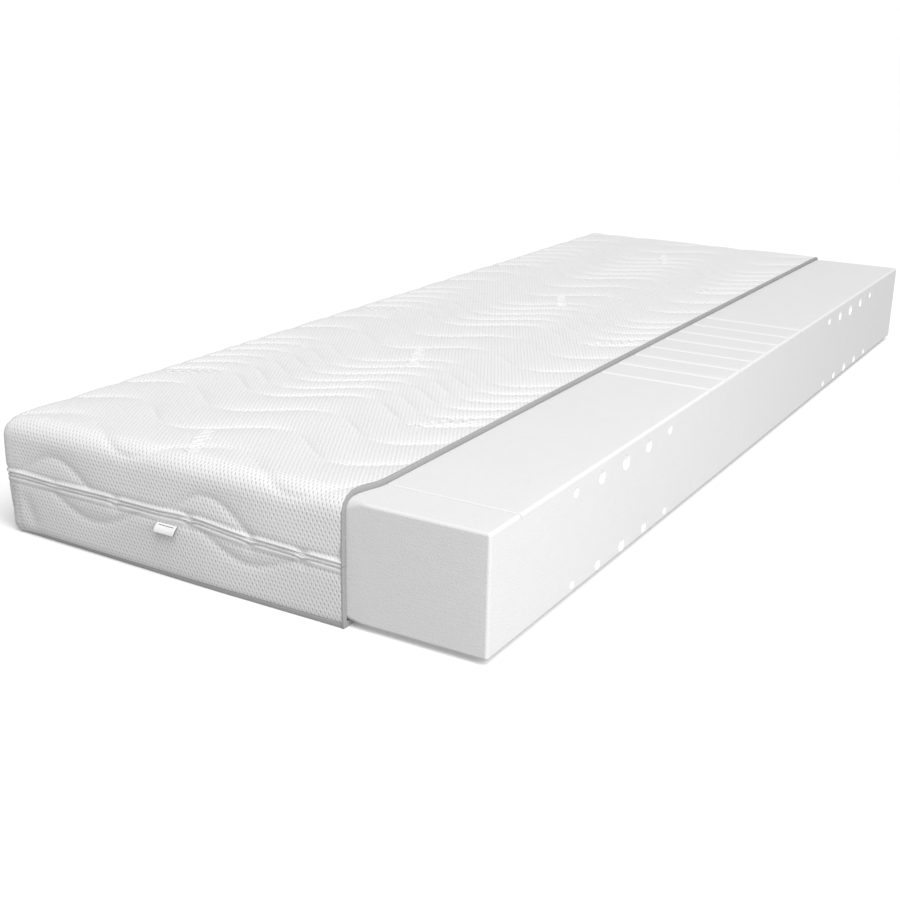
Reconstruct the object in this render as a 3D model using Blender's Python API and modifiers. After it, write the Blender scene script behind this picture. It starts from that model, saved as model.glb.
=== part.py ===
"""Foam mattress with a zipped, quilted cover, cut away along one side for display.

Frame: +X across the mattress towards its bare side, +Y along it towards the far end,
+Z up. The origin is on the underside, at the middle of the footprint. Metres.
"""
import math

import bmesh
import bpy
from mathutils import Matrix, Vector

for old in list(bpy.data.objects):
    bpy.data.objects.remove(old, do_unlink=True)

# ---------------------------------------------------------------- driving dimensions
LENGTH = 2.000          # over the cover's two ends
WIDTH = 0.801           # from the cover's closed long side to the bare foam face
HEIGHT = 0.180          # underside to the top of the cover
COVER_T = 0.008         # cover wall: knit, wadding and lining
EDGE_R = 0.028          # outer radius of the cover's corners and top edges
ARC_SEGMENTS = 4        # facets in each rounded corner
FIT = 0.0003            # clearance between touching pieces

KNIT_IN = 0.0022        # knit from 0 to here, measured inwards from the outer face
WAD_OUT, WAD_IN = 0.0025, 0.0066
LINING_OUT, LINING_IN = 0.0069, 0.0077

CUT_MID = 0.208         # x of the display cut, half way along
CUT_SKEW = 0.004        # how far the cut drifts in x for each metre along y
BINDING_W = 0.002       # thickness of the binding on the cut edge

ZIP_Z = 0.0905          # height of the zip's centre line
ZIP_OPENING = 0.0045    # from the centre line to the edge of the knit, each way
ZIP_TAPE_OUT, ZIP_TAPE_IN = 0.0026, 0.0032
ZIP_TAPE_W = 0.0110
ZIP_SPLIT = 0.0005      # half the gap between the two tapes
ZIP_CHANNEL = 0.0115    # wadding stops this far from the centre line
COIL_R = 0.0010
COIL_Z = 0.00175        # height of a coil row's centre from the centre line
COIL_DEPTH = 0.0045     # depth of a coil row's centre: the coils are sewn behind the tapes

BASE_T = 0.0080         # height of the base panel's bound edge
BASE_BIND_IN = 0.0030
BASE_FABRIC_T = 0.0025
BASE_WAD_Z = (0.0028, 0.0066)
BASE_LINING_Z = (0.0069, 0.0077)

MEMORY_T = 0.050        # thickness of the memory foam layer
CORE_R_COVERED = 0.020  # core edge radius where the cover pulls it round
CORE_R_BARE = 0.004     # core edge radius where the foam is bare
GROOVE_W, GROOVE_D = 0.005, 0.008
GROOVE_PITCH, GROOVE_COUNT = 0.070, 8
GROOVE_FIRST_Y = 0.7225  # from the core's near end
SLIT_Y, SLIT_W, SLIT_D = 0.075, 0.0018, 0.007
BORE_PITCH = 0.0810
BORE_ZONES_Y = (0.230, 1.415)             # first bore of each shoulder zone
BORE_R = (0.0055, 0.0080, 0.0100, 0.0080, 0.0055)
BORE_TOP_DEPTH = (0.0200, 0.0235, 0.0255, 0.0240, 0.0215)
BORE_FOOT_HEIGHT = 0.0135

SLIDER_Y = -0.900       # where the slider rests along the closed long side
SLIDER_L = 0.011
LABEL_X = (-0.1045, -0.0695)
LABEL_Z = 0.0797
LABEL_LEN, LABEL_T = 0.0145, 0.0006
LABEL_LIFT = math.radians(50)             # from hanging straight down

LEFT = -WIDTH / 2
RIGHT = WIDTH / 2
HALF = LENGTH / 2

# ---------------------------------------------------------------- collections
model = bpy.data.collections.new("foam_mattress_cutaway")
tools = bpy.data.collections.new("cutters")
bpy.context.scene.collection.children.link(model)
bpy.context.scene.collection.children.link(tools)
root = bpy.data.objects.new("mattress", None)
model.objects.link(root)


def material(name, colour, roughness=0.9, metallic=0.0):
    m = bpy.data.materials.new(name)
    m.use_nodes = True
    b = m.node_tree.nodes["Principled BSDF"]
    b.inputs["Base Color"].default_value = (*colour, 1)
    b.inputs["Roughness"].default_value = roughness
    b.inputs["Metallic"].default_value = metallic
    return m


KNIT = material("white_knit", (0.86, 0.86, 0.86), 0.95)
WADDING = material("quilt_wadding", (0.90, 0.90, 0.89), 1.0)
LINING = material("inner_lining", (0.80, 0.80, 0.80), 0.95)
GREY = material("grey_binding", (0.33, 0.33, 0.33), 0.85)
MEMORY = material("memory_foam", (0.84, 0.84, 0.84), 0.98)
SUPPORT = material("support_foam", (0.82, 0.82, 0.82), 0.98)
TAPE = material("zip_tape", (0.80, 0.80, 0.80), 0.9)
COIL = material("zip_coil", (0.78, 0.78, 0.78), 0.45)
METAL = material("zip_metal", (0.62, 0.62, 0.62), 0.35, 0.9)
SATIN = material("label_satin", (0.92, 0.92, 0.92), 0.5)


def add(name, mesh, mat, parent=root, collection=model):
    ob = bpy.data.objects.new(name, mesh)
    collection.objects.link(ob)
    if mat:
        mesh.materials.append(mat)
    if parent:
        ob.parent = parent
    return ob


def mesh_of(bm, name):
    bmesh.ops.recalc_face_normals(bm, faces=bm.faces)
    me = bpy.data.meshes.new(name)
    bm.to_mesh(me)
    bm.free()
    return me


def cutter(name, bm):
    ob = add(name, mesh_of(bm, name), None, parent=None, collection=tools)
    ob.hide_render = True
    ob.display_type = "WIRE"
    return ob


def boolean(ob, other, how):
    m = ob.modifiers.new(how.lower(), "BOOLEAN")
    m.operation = how
    m.object = other
    return m


def box(bm, lo, hi):
    """A box from its lowest to its highest corner, added to bm."""
    size = [b - a for a, b in zip(lo, hi)]
    mid = [(a + b) / 2 for a, b in zip(lo, hi)]
    at = Matrix.Translation(mid) @ Matrix.Diagonal((*size, 1))
    return bmesh.ops.create_cube(bm, size=1.0, matrix=at)["verts"]


def keep_side(bm, co, no, cap=False):
    """Remove what lies on the positive side of a plane, and cap the hole if asked."""
    geom = bm.verts[:] + bm.edges[:] + bm.faces[:]
    cut = bmesh.ops.bisect_plane(bm, geom=geom, dist=1e-7, plane_co=co, plane_no=no, clear_outer=True)
    if cap:
        rim = [g for g in cut["geom_cut"] if isinstance(g, bmesh.types.BMEdge)]
        bmesh.ops.contextual_create(bm, geom=rim)


def cut_plane(back=0.0):
    """A point and the normal of the skewed display cut, moved back from it."""
    no = Vector((1, -CUT_SKEW, 0)).normalized()
    return Vector((CUT_MID, 0, 0)) - no * back, no


def round_edges(bm, radius, top):
    """Round the closed side's two upright corners, and the top edges along with them."""
    xs = [v.co.x for v in bm.verts]
    zs = [v.co.z for v in bm.verts]
    x0, x1, z1 = min(xs), max(xs), max(zs)
    picked = []
    for e in bm.edges:
        a, b = (v.co for v in e.verts)
        upright = abs(a.x - b.x) < 1e-6 and abs(a.y - b.y) < 1e-6
        if upright and abs(a.x - x0) < 1e-6:
            picked.append(e)
        elif not upright:
            on_right = abs(a.x - x1) < 1e-6 and abs(b.x - x1) < 1e-6
            if on_right:
                continue
            if top and abs(a.z - z1) < 1e-6 and abs(b.z - z1) < 1e-6:
                picked.append(e)
    bmesh.ops.bevel(bm, geom=picked, offset=radius, offset_type="OFFSET", segments=ARC_SEGMENTS,
                    profile=0.5, affect="EDGES", clamp_overlap=False)


# ---------------------------------------------------------------- cover shells
def cover_piece(name, mat, depth, inner, low=None, high=None, back=0.0, band=None):
    """A layer of the cover between two depths, open at the display cut.

    low and high are the heights that it is trimmed to; with no high it runs over the top,
    and with no low it runs under the foot. band keeps only a strip of that width at the cut.
    """
    bm = bmesh.new()
    foot = low is None
    over = high is None
    box(bm, (LEFT + depth, -(HALF - depth), depth if foot else -0.3),
        (RIGHT + 0.3, HALF - depth, HEIGHT - depth if over else HEIGHT + 0.3))
    round_edges(bm, EDGE_R - depth, top=over)
    if low is not None:
        keep_side(bm, (0, 0, low), (0, 0, -1))
    if high is not None:
        keep_side(bm, (0, 0, high), (0, 0, 1))
    co, no = cut_plane(back)
    keep_side(bm, co, no)
    if band:
        keep_side(bm, co - no * band, -no)
    ob = add(name, mesh_of(bm, name), mat)
    # the surface is open, so which way it faces is set from the middle of the mattress
    me = ob.data
    inward = sum((p.normal.dot(Vector((0, 0, 0.09)) - p.center) * p.area for p in me.polygons))
    if inward > 0:
        me.flip_normals()
    wall = ob.modifiers.new("wall", "SOLIDIFY")
    wall.thickness = inner - depth
    wall.offset = -1
    wall.use_even_offset = True
    me.shade_smooth()
    me.set_sharp_from_angle(angle=math.radians(30))
    return ob


BEHIND = BINDING_W + FIT
cover_piece("upper_cover_knit", KNIT, 0.0, KNIT_IN, low=ZIP_Z + ZIP_OPENING, back=BEHIND)
cover_piece("upper_cover_wadding", WADDING, WAD_OUT, WAD_IN, low=ZIP_Z + ZIP_CHANNEL, back=BEHIND)
cover_piece("upper_cover_lining", LINING, LINING_OUT, LINING_IN, low=ZIP_Z + 0.001, back=BEHIND)
cover_piece("lower_cover_knit", KNIT, 0.0, KNIT_IN, low=BASE_T + FIT, high=ZIP_Z - ZIP_OPENING, back=BEHIND)
cover_piece("lower_cover_wadding", WADDING, WAD_OUT, WAD_IN, low=BASE_T + FIT, high=ZIP_Z - ZIP_CHANNEL, back=BEHIND)
cover_piece("lower_cover_lining", LINING, LINING_OUT, LINING_IN, low=BASE_T + FIT, high=ZIP_Z - 0.001, back=BEHIND)

# ---------------------------------------------------------------- bindings
cover_piece("upper_cut_edge_binding", GREY, 0.0, LINING_IN, low=ZIP_Z + FIT, band=BINDING_W)
cover_piece("lower_cut_edge_binding", GREY, 0.0, LINING_IN, high=ZIP_Z - FIT, band=BINDING_W)
cover_piece("base_edge_binding", GREY, 0.0, BASE_BIND_IN, low=0.0, high=BASE_T, back=BEHIND)


# ---------------------------------------------------------------- base panel
def base_plate(name, mat, z0, z1):
    bm = bmesh.new()
    d = BASE_BIND_IN + FIT
    box(bm, (LEFT + d, -(HALF - d), z0), (RIGHT + 0.3, HALF - d, z1))
    round_edges(bm, EDGE_R - d, top=False)
    co, no = cut_plane(BEHIND)
    keep_side(bm, co, no, cap=True)
    return add(name, mesh_of(bm, name), mat)


base_plate("base_panel_fabric", GREY, 0.0, BASE_FABRIC_T)
base_plate("base_panel_wadding", WADDING, *BASE_WAD_Z)
base_plate("base_panel_lining", LINING, *BASE_LINING_Z)

# ---------------------------------------------------------------- zip tapes and coils
cover_piece("upper_zip_tape", TAPE, ZIP_TAPE_OUT, ZIP_TAPE_IN, low=ZIP_Z + ZIP_SPLIT,
            high=ZIP_Z + ZIP_TAPE_W, back=BEHIND)
cover_piece("lower_zip_tape", TAPE, ZIP_TAPE_OUT, ZIP_TAPE_IN, low=ZIP_Z - ZIP_TAPE_W,
            high=ZIP_Z - ZIP_SPLIT, back=BEHIND)


def zip_path(depth):
    """Plan points of the zip: near end, closed long side and far end, round two corners."""
    r = EDGE_R - depth
    cx, cy = LEFT + EDGE_R, HALF - EDGE_R
    stop = BEHIND + FIT
    pts = [(CUT_MID - CUT_SKEW * HALF - stop, -(HALF - depth))]
    steps = ARC_SEGMENTS                       # the same facets as the tapes, so that they run parallel
    for i in range(steps + 1):
        a = math.radians(270 - 90 * i / steps)
        pts.append((cx + r * math.cos(a), -cy + r * math.sin(a)))
    for i in range(steps + 1):
        a = math.radians(180 - 90 * i / steps)
        pts.append((cx + r * math.cos(a), cy + r * math.sin(a)))
    pts.append((CUT_MID + CUT_SKEW * HALF - stop, HALF - depth))
    return pts


def coil_row(name, z):
    cu = bpy.data.curves.new(name, "CURVE")
    cu.dimensions = "3D"
    cu.bevel_depth = COIL_R
    cu.bevel_resolution = 2
    cu.use_fill_caps = True
    pts = zip_path(COIL_DEPTH)
    sp = cu.splines.new("POLY")
    sp.points.add(len(pts) - 1)
    for p, (x, y) in zip(sp.points, pts):
        p.co = (x, y, z, 1)
    cu.materials.append(COIL)
    ob = bpy.data.objects.new(name, cu)
    model.objects.link(ob)
    ob.parent = root
    return ob


coil_row("upper_zip_coil", ZIP_Z + COIL_Z)
coil_row("lower_zip_coil", ZIP_Z - COIL_Z)

# ---------------------------------------------------------------- zip slider, on the closed long side
slider_at = bpy.data.objects.new("slider_axis", None)
model.objects.link(slider_at)
slider_at.location = (LEFT, SLIDER_Y, ZIP_Z)
slider_at.parent = root


def outward(d0, d1, y0, y1, z0, z1):
    """Box corners in the slider's frame from heights above the cover's face."""
    return (-d1, y0, z0), (-d0, y1, z1)


bm = bmesh.new()
box(bm, *outward(0.0003, 0.0018, -SLIDER_L / 2, SLIDER_L / 2, -0.0046, 0.0046))
front_edges = [e for e in bm.edges if all(v.co.x < -0.0017 for v in e.verts)]
bmesh.ops.bevel(bm, geom=front_edges, offset=0.0007, segments=2, profile=0.5, affect="EDGES")
slider = add("zip_slider_body", mesh_of(bm, "zip_slider_body"), METAL, parent=slider_at)
bm = bmesh.new()
box(bm, *outward(-0.0062, 0.0008, -0.0040, 0.0040, -0.0004, 0.0004))
web = cutter("slider_web", bm)
bm = bmesh.new()
box(bm, *outward(-0.0066, -0.0058, -SLIDER_L / 2, SLIDER_L / 2, -0.0042, 0.0042))
back = cutter("slider_back_plate", bm)
# the crown is an arch that runs lengthwise on the front plate
bm = bmesh.new()
box(bm, *outward(0.0012, 0.0046, -0.0032, 0.0032, -0.0007, 0.0007))
crown = cutter("slider_crown", bm)
bm = bmesh.new()
box(bm, *outward(0.0018, 0.0038, -0.0022, 0.0022, -0.0020, 0.0020))
eye = cutter("slider_crown_eye", bm)
for c in (web, back, crown, eye):
    c.location = slider_at.location
for c in (web, back, crown):
    boolean(slider, c, "UNION")
boolean(slider, eye, "DIFFERENCE")

# pull tab: a flat plate with a window at its root, whose end bar turns under the crown
tab_axis = bpy.data.objects.new("pull_tab_axis", None)
model.objects.link(tab_axis)
tab_axis.location = (-0.0028, 0, 0)
tab_axis.parent = slider_at
cu = bpy.data.curves.new("zip_pull_tab", "CURVE")
cu.dimensions = "2D"
cu.fill_mode = "BOTH"
cu.extrude = 0.0006


def outline(points):
    sp = cu.splines.new("POLY")
    sp.points.add(len(points) - 1)
    for p, (x, y) in zip(sp.points, points):
        p.co = (x, y, 0, 1)
    sp.use_cyclic_u = True


# drawn with its length along -Y of the slider and its width across the zip
tip = [(-0.0235 - 0.0030 * math.cos(math.radians(a)), 0.0030 * math.sin(math.radians(a)))
       for a in (60, 30, 0, -30, -60)]
outline([(0.0006, -0.0030), (0.0006, 0.0030), (-0.0235, 0.0034)] + tip + [(-0.0235, -0.0034)])
outline([(-0.0006, 0.0017), (-0.0006, -0.0017), (-0.0066, -0.0017), (-0.0066, 0.0017)])
cu.materials.append(METAL)
tab = bpy.data.objects.new("zip_pull_tab", cu)
model.objects.link(tab)
tab.parent = tab_axis
# curve x -> world y, curve y -> world z, curve z -> world x
tab.rotation_euler = Matrix(((0, 0, 1), (1, 0, 0), (0, 1, 0))).to_euler()

# ---------------------------------------------------------------- sewn label, below the zip
label_at = bpy.data.objects.new("label_axis", None)
model.objects.link(label_at)
label_at.location = (sum(LABEL_X) / 2, -HALF - 0.0007, LABEL_Z)
label_at.rotation_euler = (-LABEL_LIFT, 0, 0)
label_at.parent = root
bm = bmesh.new()
w = (LABEL_X[1] - LABEL_X[0]) / 2
box(bm, (-w, -LABEL_T / 2, -LABEL_LEN), (w, LABEL_T / 2, 0))
bmesh.ops.bevel(bm, geom=[e for e in bm.edges if abs(e.verts[0].co.x - e.verts[1].co.x) > 0.01],
                offset=0.0001, segments=1, affect="EDGES")
add("care_label", mesh_of(bm, "care_label"), SATIN, parent=label_at)

# ---------------------------------------------------------------- foam core
CORE_X0 = LEFT + COVER_T
CORE_Y = HALF - COVER_T
CORE_Z0, CORE_Z1 = COVER_T, HEIGHT - COVER_T
SEAM_Z = CORE_Z1 - MEMORY_T


def bare_end():
    """The bare end of the core, with its inner face along the skewed cut."""
    bm = bmesh.new()
    box(bm, (0.0, -CORE_Y, CORE_Z0), (RIGHT, CORE_Y, CORE_Z1))
    for v in bm.verts:
        if v.co.x < 0.1:
            v.co.x = CUT_MID + CUT_SKEW * v.co.y + 0.0006
    picked = [e for e in bm.edges if not all(v.co.x < CUT_MID + 0.05 for v in e.verts)]
    bmesh.ops.bevel(bm, geom=picked, offset=CORE_R_BARE, segments=2, profile=0.5, affect="EDGES")
    return cutter("core_bare_end", bm)


def hollows():
    """Two shoulder zones of graded bores, the lumbar grooves and one slit, all across the core."""
    bm = bmesh.new()
    across = Matrix.Rotation(math.radians(90), 4, "Y")
    for y0 in BORE_ZONES_Y:
        for i, r in enumerate(BORE_R):
            y = -CORE_Y + y0 + i * BORE_PITCH
            for z, rr in ((CORE_Z1 - BORE_TOP_DEPTH[i], r), (CORE_Z0 + BORE_FOOT_HEIGHT, r * 0.8)):
                bmesh.ops.create_cone(bm, cap_ends=True, segments=12, radius1=rr, radius2=rr, depth=1.2,
                                      matrix=Matrix.Translation((0, y, z)) @ across)
    for i in range(GROOVE_COUNT):
        y = -CORE_Y + GROOVE_FIRST_Y + i * GROOVE_PITCH
        box(bm, (-0.6, y - GROOVE_W / 2, CORE_Z1 - GROOVE_D), (0.6, y + GROOVE_W / 2, CORE_Z1 + 0.02))
    y = -CORE_Y + SLIT_Y
    box(bm, (-0.6, y - SLIT_W / 2, CORE_Z1 - SLIT_D), (0.6, y + SLIT_W / 2, CORE_Z1 + 0.02))
    return cutter("core_hollows", bm)


BARE = bare_end()
HOLLOWS = hollows()


def core_layer(name, mat, z0, z1):
    bm = bmesh.new()
    box(bm, (CORE_X0, -CORE_Y + 0.0001, CORE_Z0 + 0.0001), (CUT_MID + 0.05, CORE_Y - 0.0001, CORE_Z1 - 0.0001))
    round_edges(bm, CORE_R_COVERED, top=True)
    ob = add(name, mesh_of(bm, name), mat)
    boolean(ob, BARE, "UNION")
    slab = bmesh.new()
    box(slab, (-0.7, -1.2, z0), (0.7, 1.2, z1))
    boolean(ob, cutter(name + "_slab", slab), "INTERSECT")
    boolean(ob, HOLLOWS, "DIFFERENCE")
    return ob


core_layer("memory_foam_layer", MEMORY, SEAM_Z + FIT / 2, CORE_Z1 + 0.05)
core_layer("support_foam_core", SUPPORT, CORE_Z0 - 0.05, SEAM_Z - FIT / 2)
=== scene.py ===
import math

import bmesh
import bpy
import numpy as np
from mathutils import Matrix, Vector, noise


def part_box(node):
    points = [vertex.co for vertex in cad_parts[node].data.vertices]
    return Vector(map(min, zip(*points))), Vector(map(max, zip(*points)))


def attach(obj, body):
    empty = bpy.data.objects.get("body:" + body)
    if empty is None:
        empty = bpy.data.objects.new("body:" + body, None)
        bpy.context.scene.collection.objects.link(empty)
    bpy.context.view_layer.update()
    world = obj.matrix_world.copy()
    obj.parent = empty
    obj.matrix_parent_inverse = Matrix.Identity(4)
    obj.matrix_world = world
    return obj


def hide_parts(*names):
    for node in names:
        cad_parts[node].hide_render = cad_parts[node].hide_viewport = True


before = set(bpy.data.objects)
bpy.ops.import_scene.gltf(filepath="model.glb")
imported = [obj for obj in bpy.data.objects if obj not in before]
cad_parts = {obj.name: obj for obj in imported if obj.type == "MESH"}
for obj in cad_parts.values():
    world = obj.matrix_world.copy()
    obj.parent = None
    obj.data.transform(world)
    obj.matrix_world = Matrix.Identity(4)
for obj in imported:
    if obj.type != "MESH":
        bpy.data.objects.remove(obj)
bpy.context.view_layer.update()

# ------------------------------------------------------------------ sizes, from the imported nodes
KLO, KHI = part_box("upper_cover_knit")
LLO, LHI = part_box("lower_cover_knit")
MLO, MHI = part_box("memory_foam_layer")
SLO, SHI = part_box("support_foam_core")
BLO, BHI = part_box("base_edge_binding")
LEFT, HALF, TOP = KLO[0], KHI[1], KHI[2]
RIGHT = MHI[0]
EDGE_R = 0.028
CUT_MID, CUT_SKEW = 0.208, 0.004
BIND_W = 0.0020
ZIP_Z = 0.0905
ZIP_HALF = 0.0045
LABEL_Z = 0.0797
BASE_T = BHI[2]
CORE_Z0, CORE_Z1 = SLO[2], MHI[2]
SEAM_Z = (MLO[2] + SHI[2]) / 2
CORE_Y = MHI[1]
CORE_X0 = MLO[0]


def cut_x(y):
    """The display cut: straight but for the near end, where the cloth is drawn back a little at the border and forward just past it."""
    t = np.clip((y + 0.970) / 0.05, 0, 1)
    t = t * t * (3 - 2 * t)
    return CUT_MID + CUT_SKEW * y - 0.0055 * (1 - t) + 0.0050 * t * np.clip(-y / 0.93, 0, 1)


KNIT_TONE, KNIT_DEPTH = 0.755, 0.00080
WORLD, SUN, SUN_DIR, KEY = 0.49, 2.12, (0.43, -0.28, 0.85), 34.0

# ------------------------------------------------------------------ material kit
class Nodes:
    """Small helper that builds a node tree with fewer words."""

    def __init__(self, name):
        self.mat = bpy.data.materials.new(name)
        self.mat.use_nodes = True
        self.nt = self.mat.node_tree
        self.bsdf = self.nt.nodes["Principled BSDF"]
        self.bsdf.inputs["Specular IOR Level"].default_value = 0.25

    def add(self, kind, **values):
        n = self.nt.nodes.new(kind)
        for key, value in values.items():
            setattr(n, key, value)
        return n

    def link(self, a, b):
        self.nt.links.new(a, b)

    def math(self, op, a, b=None, c=None, clamp=False):
        n = self.add("ShaderNodeMath", operation=op, use_clamp=clamp)
        for i, v in enumerate((a, b, c)):
            if v is None:
                continue
            if isinstance(v, (int, float)):
                n.inputs[i].default_value = v
            else:
                self.link(v, n.inputs[i])
        return n.outputs[0]

    def noise(self, vector, scale, detail=2.0, rough=0.5):
        n = self.add("ShaderNodeTexNoise")
        n.inputs["Scale"].default_value = scale
        n.inputs["Detail"].default_value = detail
        n.inputs["Roughness"].default_value = rough
        self.link(vector, n.inputs["Vector"])
        return n.outputs["Fac"]

    def ramp(self, fac, stops):
        n = self.add("ShaderNodeValToRGB")
        el = n.color_ramp.elements
        while len(el) > 1:
            el.remove(el[-1])
        el[0].position, el[0].color = stops[0][0], (*stops[0][1], 1)
        for pos, col in stops[1:]:
            e = el.new(pos)
            e.color = (*col, 1)
        self.link(fac, n.inputs["Fac"])
        return n.outputs["Color"]

    def bump(self, height, distance, strength=1.0, normal=None):
        n = self.add("ShaderNodeBump")
        n.inputs["Distance"].default_value = distance
        n.inputs["Strength"].default_value = strength
        self.link(height, n.inputs["Height"])
        if normal is not None:
            self.link(normal, n.inputs["Normal"])
        return n.outputs["Normal"]

    def finish(self, colour, normal=None, rough=None):
        if isinstance(colour, tuple):
            self.bsdf.inputs["Base Color"].default_value = (*colour, 1)
        else:
            self.link(colour, self.bsdf.inputs["Base Color"])
        if normal is not None:
            self.link(normal, self.bsdf.inputs["Normal"])
        if rough is not None:
            if isinstance(rough, (int, float)):
                self.bsdf.inputs["Roughness"].default_value = rough
            else:
                self.link(rough, self.bsdf.inputs["Roughness"])
        return self.mat


def grey(v):
    return (v, v, v)


def knit_material(name, tone):
    """White double knit: staggered rows of small dimples, 6.4 mm apart along a row and rows 5.85 mm apart.
    The second map, calm, fades the dimples out where the cloth is turned under or stretched tight."""
    k = Nodes(name)
    uv = k.add("ShaderNodeUVMap", uv_map="weave").outputs["UV"]
    calm = k.add("ShaderNodeUVMap", uv_map="calm").outputs["UV"]
    csep = k.add("ShaderNodeSeparateXYZ")
    k.link(calm, csep.inputs[0])
    # the yarn wanders a little
    wander = k.add("ShaderNodeTexNoise")
    wander.inputs["Scale"].default_value = 75.0
    wander.inputs["Detail"].default_value = 2.0
    k.link(uv, wander.inputs["Vector"])
    shift = k.add("ShaderNodeVectorMath", operation="SUBTRACT")
    k.link(wander.outputs["Color"], shift.inputs[0])
    shift.inputs[1].default_value = (0.5, 0.5, 0.5)
    scaled = k.add("ShaderNodeVectorMath", operation="SCALE")
    k.link(shift.outputs[0], scaled.inputs[0])
    scaled.inputs["Scale"].default_value = 0.0022
    moved = k.add("ShaderNodeVectorMath", operation="ADD")
    k.link(uv, moved.inputs[0])
    k.link(scaled.outputs[0], moved.inputs[1])
    sep = k.add("ShaderNodeSeparateXYZ")
    k.link(moved.outputs[0], sep.inputs[0])
    u, v = sep.outputs["X"], sep.outputs["Y"]
    two_pi = 2 * math.pi
    # a staggered lattice is the product of two crossed waves
    cu = k.math("COSINE", k.math("MULTIPLY", u, two_pi / 0.00640))
    cv = k.math("COSINE", k.math("MULTIPLY", v, two_pi / 0.01170))
    lattice = k.math("MULTIPLY", cu, cv)                      # -1..1, peaks at the dimples
    dimple = k.math("POWER", k.math("MAXIMUM", lattice, 0.0), 1.5)
    uneven = k.math("MULTIPLY_ADD", k.noise(uv, 120.0, 2.0, 0.5), 0.9, 0.55)
    dimple = k.math("MULTIPLY", k.math("MULTIPLY", dimple, uneven), k.math("SUBTRACT", 1.0, csep.outputs["X"]))
    # courses of loops: fine ribs along each row
    rib = k.math("ABSOLUTE", k.math("SINE", k.math("MULTIPLY", u, math.pi / 0.00107)))
    course = k.math("ABSOLUTE", k.math("SINE", k.math("MULTIPLY", v, math.pi / 0.00130)))
    loops = k.math("MULTIPLY", rib, course)
    soft = k.noise(uv, 260.0, 3.0, 0.6)
    height = k.math("SUBTRACT", k.math("MULTIPLY_ADD", loops, 0.12, k.math("MULTIPLY", soft, 0.16)), dimple)
    normal = k.bump(height, KNIT_DEPTH, 1.0)
    wide = k.noise(uv, 7.0, 2.0, 0.5)
    # painted shade: the colour is darkened in every dimple, over a faint random tone
    shade = k.math("MULTIPLY_ADD", dimple, -0.08, k.math("MULTIPLY_ADD", wide, 0.03, tone - 0.015))
    comb = k.add("ShaderNodeCombineColor")
    for i in range(3):
        k.link(shade, comb.inputs[i])
    k.bsdf.inputs["Sheen Weight"].default_value = 0.12
    k.bsdf.inputs["Sheen Roughness"].default_value = 0.6
    return k.finish(comb.outputs["Color"], normal, 0.93)


def plain_cloth(name, value, thread=0.0009, depth=0.00018, sheen=0.15, speck=0.05):
    """Plain woven cloth in one tone, with warp and weft on the object's own coordinates."""
    k = Nodes(name)
    co = k.add("ShaderNodeTexCoord").outputs["Object"]
    sep = k.add("ShaderNodeSeparateXYZ")
    k.link(co, sep.inputs[0])
    waves = [k.math("SINE", k.math("MULTIPLY", sep.outputs[i], 2 * math.pi / thread)) for i in range(3)]
    weave = k.math("ADD", k.math("MULTIPLY", waves[0], waves[1]), k.math("MULTIPLY", waves[2], waves[1]))
    weave = k.math("ADD", weave, k.math("MULTIPLY", waves[0], waves[2]))
    fine = k.noise(co, 420.0, 3.0, 0.6)
    height = k.math("MULTIPLY_ADD", weave, 0.4, fine)
    normal = k.bump(height, depth, 0.9)
    tone = k.noise(co, 24.0, 3.0, 0.55)
    shade = k.math("MULTIPLY_ADD", tone, speck, value - speck / 2)
    shade = k.math("MULTIPLY_ADD", weave, 0.012, shade)
    comb = k.add("ShaderNodeCombineColor")
    for i in range(3):
        k.link(shade, comb.inputs[i])
    k.bsdf.inputs["Sheen Weight"].default_value = sheen
    return k.finish(comb.outputs["Color"], normal, 0.9)


def foam_material(name, value, painted_glow=0.0):
    """Cut polyurethane foam: fine open cells, faint mottling and long straight saw marks."""
    k = Nodes(name)
    co = k.add("ShaderNodeTexCoord").outputs["Object"]
    cells = k.add("ShaderNodeTexVoronoi", feature="F1")
    cells.inputs["Scale"].default_value = 620.0
    k.link(co, cells.inputs["Vector"])
    grain = k.noise(co, 900.0, 2.0, 0.6)
    mottle = k.noise(co, 38.0, 4.0, 0.6)
    clouds = k.noise(co, 3.2, 2.0, 0.5)
    stretch = k.add("ShaderNodeMapping")
    stretch.inputs["Scale"].default_value = (30.0, 3.0, 300.0)
    k.link(co, stretch.inputs["Vector"])
    saw = k.noise(stretch.outputs["Vector"], 1.0, 2.0, 0.5)
    height = k.math("MULTIPLY_ADD", cells.outputs["Distance"], 0.7, k.math("MULTIPLY", grain, 0.35))
    height = k.math("MULTIPLY_ADD", saw, 0.5, height)
    normal = k.bump(height, 0.00035, 0.8)
    normal = k.bump(mottle, 0.0006, 0.35, normal)
    shade = k.math("MULTIPLY_ADD", mottle, 0.030, value - 0.03)
    shade = k.math("MULTIPLY_ADD", clouds, 0.030, shade)
    shade = k.math("MULTIPLY_ADD", cells.outputs["Distance"], -0.045, shade)
    comb = k.add("ShaderNodeCombineColor")
    for i in range(3):
        k.link(shade, comb.inputs[i])
    k.bsdf.inputs["Sheen Weight"].default_value = 0.1
    if painted_glow:
        # painted light: a faint white glow on the bore walls, though they are no lamp, standing in for their bright
        # look
        k.bsdf.inputs["Emission Color"].default_value = (1, 1, 1, 1)
        k.bsdf.inputs["Emission Strength"].default_value = painted_glow
    return k.finish(comb.outputs["Color"], normal, 0.97)


def metal_material():
    k = Nodes("zip_metal_finish")
    co = k.add("ShaderNodeTexCoord").outputs["Object"]
    n = k.noise(co, 900.0, 3.0, 0.6)
    k.bsdf.inputs["Metallic"].default_value = 1.0
    rough = k.math("MULTIPLY_ADD", n, 0.18, 0.24)
    return k.finish(grey(0.66), k.bump(n, 0.00004, 0.5), rough)


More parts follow.
